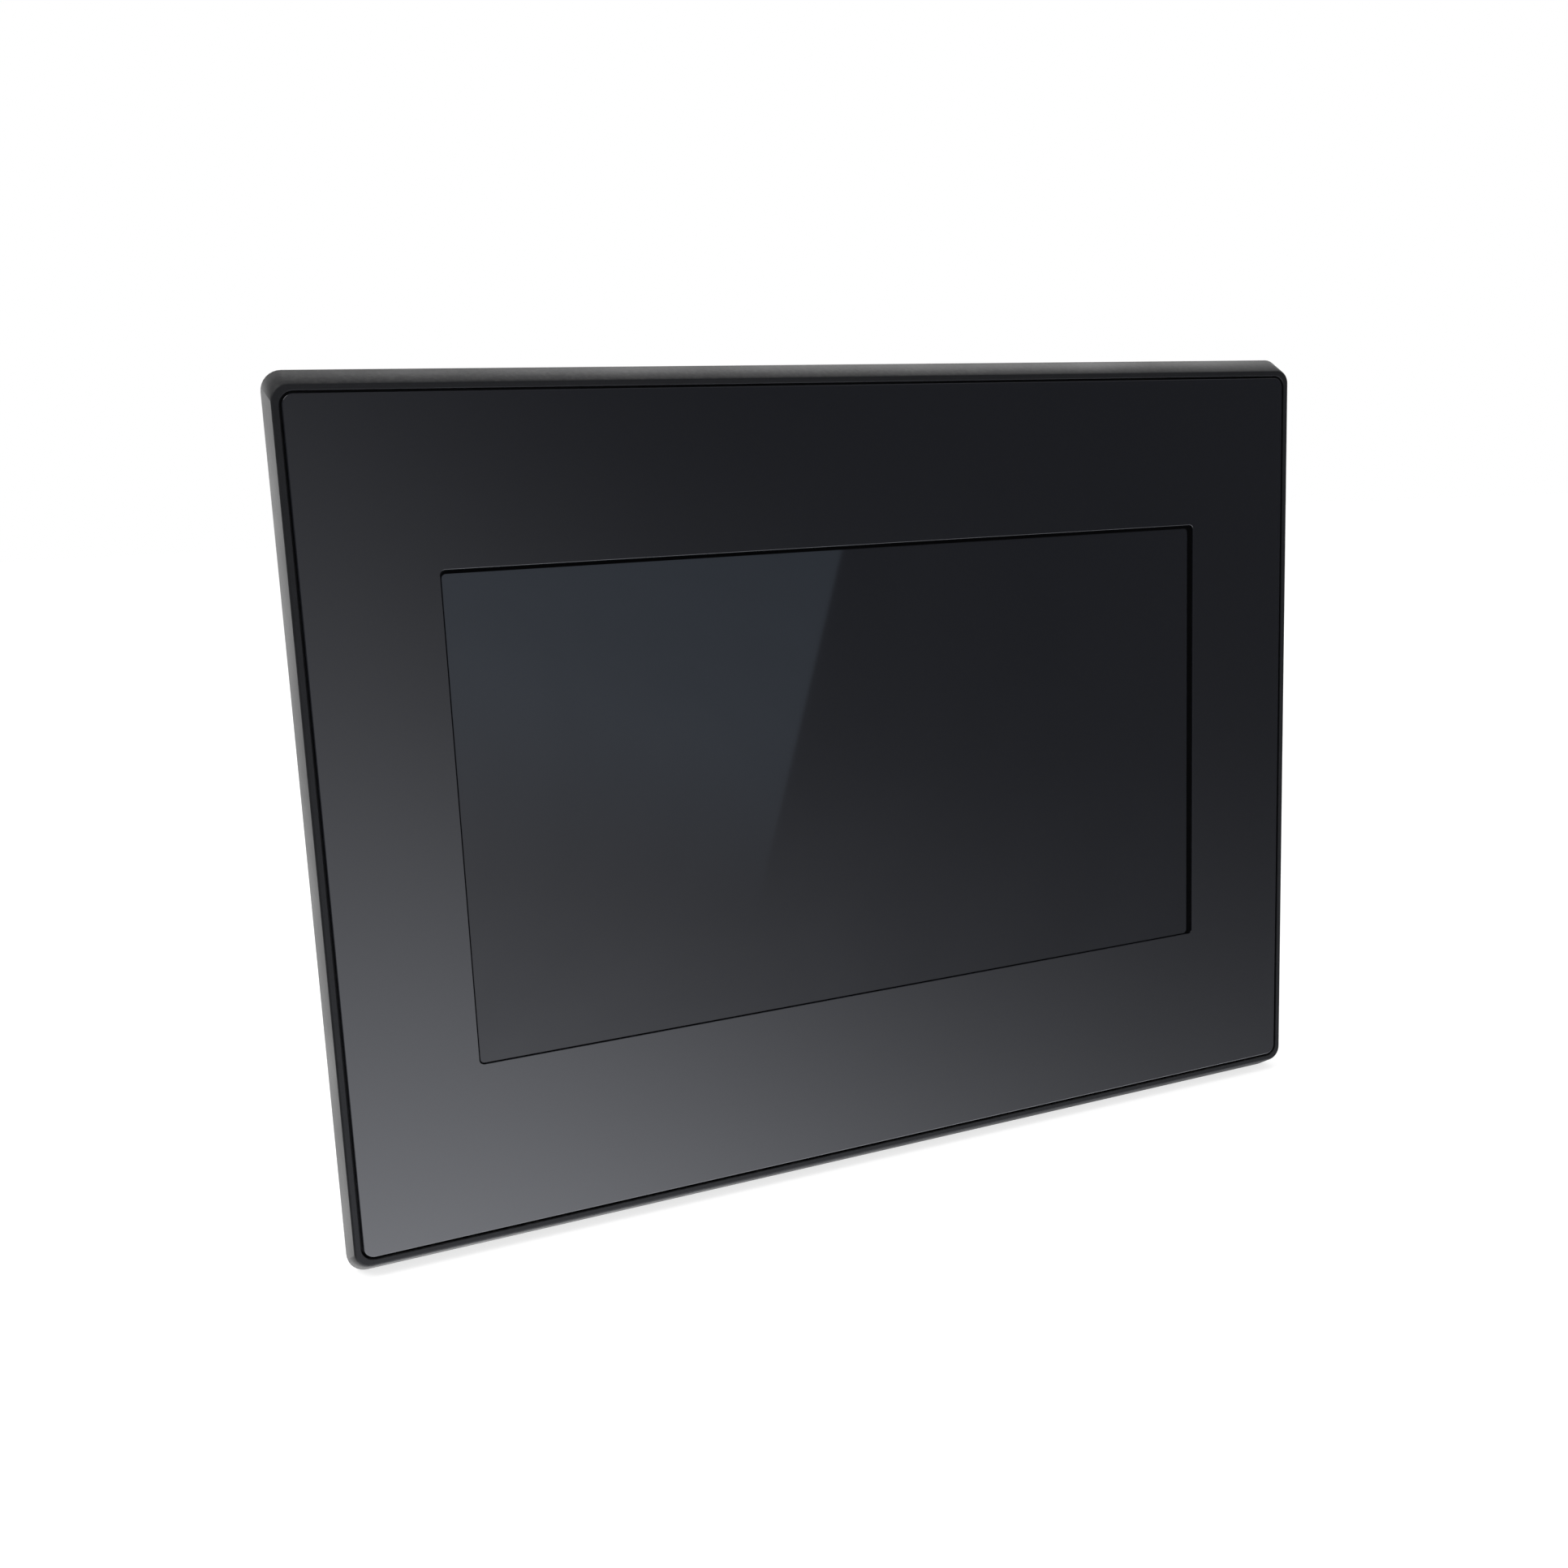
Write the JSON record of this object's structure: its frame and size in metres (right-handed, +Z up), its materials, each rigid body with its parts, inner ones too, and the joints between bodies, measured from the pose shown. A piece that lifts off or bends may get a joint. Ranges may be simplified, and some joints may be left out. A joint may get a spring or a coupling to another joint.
{
  "type": "operator touch panel",
  "caption": "Wide operator touch panel for a cabinet door: black glossy front with a recessed screen, flange with seal, screw clamps, and a stepped rear housing with ports.",
  "frame": {"origin": "centre of the panel cut-out, on the plane of the cabinet door's outer face, where the seal rests", "axes": "+X right as seen from the front, +Y into the cabinet (the screen faces -Y), +Z up"},
  "size_m": [0.206, 0.05, 0.155],
  "materials": {
    "black_moulding": "fine moulded grain",
    "black_sheet": "smooth gloss",
    "touch_film": "polished",
    "touch_glass": "polished",
    "display_glass": "polished",
    "seal_rubber": "matte",
    "housing_moulding": "fine moulded grain",
    "zinc_plate": "zinc plated",
    "tinned_shell": "tin plated",
    "board_laminate": "solder mask",
    "chip_moulding": "matte",
    "fin_aluminium": "satin",
    "white_film": "matte",
    "clear_guide": "polished",
    "flat_lead": "film over copper",
    "terminal_moulding": "satin",
    "battery_wrap": "shrink film",
    "lever_white": "satin",
    "label_silver": "satin film",
    "foot_moulding": "satin",
    "screw_steel": "plated"
  },
  "bodies": {
    "root": {"front_bezel": "black_moulding", "front_sheet": "black_sheet", "touch_film": "touch_film", "touch_glass": "touch_glass", "touch_gasket": "seal_rubber", "touch_cable": "flat_lead", "lcd_cell": "display_glass", "lcd_diffuser": "white_film", "light_guide": "clear_guide", "led_bar": "board_laminate", "lcd_tray": "zinc_plate", "lcd_cable": "flat_lead", "panel_gasket": "seal_rubber", "chassis_plate": "zinc_plate", "main_board": "board_laminate", "main_chip": "chip_moulding", "heat_spreader": "fin_aluminium", "buzzer": "chip_moulding", "input_capacitor": "fin_aluminium", "rear_cover": "housing_moulding", "network_socket": "tinned_shell", "usb_host_port": "tinned_shell", "usb_device_port": "tinned_shell", "serial_port_a": "tinned_shell", "serial_port_b": "tinned_shell", "power_header": "terminal_moulding", "card_socket": "tinned_shell", "battery": "battery_wrap", "resistor_switch": "chip_moulding", "rating_plate": "label_silver", "cover_screw_1": "screw_steel", "jack_screw_1": "screw_steel", "clamp_bracket_1": "zinc_plate", "cover_screw_2": "screw_steel", "jack_screw_2": "screw_steel", "clamp_bracket_2": "zinc_plate", "cover_screw_3": "screw_steel", "jack_screw_3": "screw_steel", "clamp_bracket_3": "zinc_plate", "cover_screw_4": "screw_steel", "jack_screw_4": "screw_steel", "clamp_bracket_4": "zinc_plate"},
    "card_cover": {"card_cover": "housing_moulding"},
    "battery_cover": {"battery_cover": "housing_moulding"},
    "power_plug": {"power_plug": "terminal_moulding"},
    "switch_lever": {"switch_lever": "lever_white"},
    "terminal_screw_1": {"terminal_screw_1": "screw_steel"},
    "terminal_screw_2": {"terminal_screw_2": "screw_steel"},
    "terminal_screw_3": {"terminal_screw_3": "screw_steel"},
    "clamp_1_foot": {"clamp_foot_1": "foot_moulding"},
    "clamp_1_screw": {"clamp_screw_1": "screw_steel"},
    "clamp_2_foot": {"clamp_foot_2": "foot_moulding"},
    "clamp_2_screw": {"clamp_screw_2": "screw_steel"},
    "clamp_3_foot": {"clamp_foot_3": "foot_moulding"},
    "clamp_3_screw": {"clamp_screw_3": "screw_steel"},
    "clamp_4_foot": {"clamp_foot_4": "foot_moulding"},
    "clamp_4_screw": {"clamp_screw_4": "screw_steel"}
  },
  "joints": [
    {"name": "card_cover_hinge", "type": "hinge", "parent": "root", "child": "card_cover", "pos_m": [0.09415, 0.02455, 0.02], "axis": [0, 0, -1], "range_deg": [0, 100]},
    {"name": "battery_cover_hinge", "type": "hinge", "parent": "root", "child": "battery_cover", "pos_m": [0, 0.04315, 0.03715], "axis": [-1, 0, 0], "range_deg": [0, 100]},
    {"name": "power_plug_slide", "type": "slide", "parent": "root", "child": "power_plug", "axis": [0, 0, -1], "range_m": [0, 0.012]},
    {"name": "switch_lever_slide", "type": "slide", "parent": "root", "child": "switch_lever", "axis": [1, 0, 0], "range_m": [0, 0.0034]},
    {"name": "terminal_screw_1_turn", "type": "hinge", "parent": "power_plug", "child": "terminal_screw_1", "pos_m": [0.06512, 0.0382, -0.04111], "axis": [0, 1, 0], "range_deg": [0, 1080]},
    {"name": "terminal_screw_2_turn", "type": "hinge", "parent": "power_plug", "child": "terminal_screw_2", "pos_m": [0.0702, 0.0382, -0.04111], "axis": [0, 1, 0], "range_deg": [0, 1080]},
    {"name": "terminal_screw_3_turn", "type": "hinge", "parent": "power_plug", "child": "terminal_screw_3", "pos_m": [0.07528, 0.0382, -0.04111], "axis": [0, 1, 0], "range_deg": [0, 1080]},
    {"name": "clamp_1_feed", "type": "slide", "parent": "root", "child": "clamp_1_foot", "axis": [0, -1, 0], "range_m": [0, 0.008]},
    {"name": "clamp_1_turn", "type": "hinge", "parent": "clamp_1_foot", "child": "clamp_1_screw", "pos_m": [0.062, 0.03, 0.0728], "axis": [0, -1, 0], "range_deg": [0, 4115]},
    {"name": "clamp_2_feed", "type": "slide", "parent": "root", "child": "clamp_2_foot", "axis": [0, -1, 0], "range_m": [0, 0.008]},
    {"name": "clamp_2_turn", "type": "hinge", "parent": "clamp_2_foot", "child": "clamp_2_screw", "pos_m": [-0.062, 0.03, 0.0728], "axis": [0, -1, 0], "range_deg": [0, 4115]},
    {"name": "clamp_3_feed", "type": "slide", "parent": "root", "child": "clamp_3_foot", "axis": [0, -1, 0], "range_m": [0, 0.008]},
    {"name": "clamp_3_turn", "type": "hinge", "parent": "clamp_3_foot", "child": "clamp_3_screw", "pos_m": [0.062, 0.03, -0.0728], "axis": [0, -1, 0], "range_deg": [0, 4115]},
    {"name": "clamp_4_feed", "type": "slide", "parent": "root", "child": "clamp_4_foot", "axis": [0, -1, 0], "range_m": [0, 0.008]},
    {"name": "clamp_4_turn", "type": "hinge", "parent": "clamp_4_foot", "child": "clamp_4_screw", "pos_m": [-0.062, 0.03, -0.0728], "axis": [0, -1, 0], "range_deg": [0, 4115]}
  ],
  "couplings": [
    {"joint": "clamp_1_turn", "follows": "clamp_1_feed", "rad_per_m": 8976},
    {"joint": "clamp_2_turn", "follows": "clamp_2_feed", "rad_per_m": 8976},
    {"joint": "clamp_3_turn", "follows": "clamp_3_feed", "rad_per_m": 8976},
    {"joint": "clamp_4_turn", "follows": "clamp_4_feed", "rad_per_m": 8976}
  ]
}
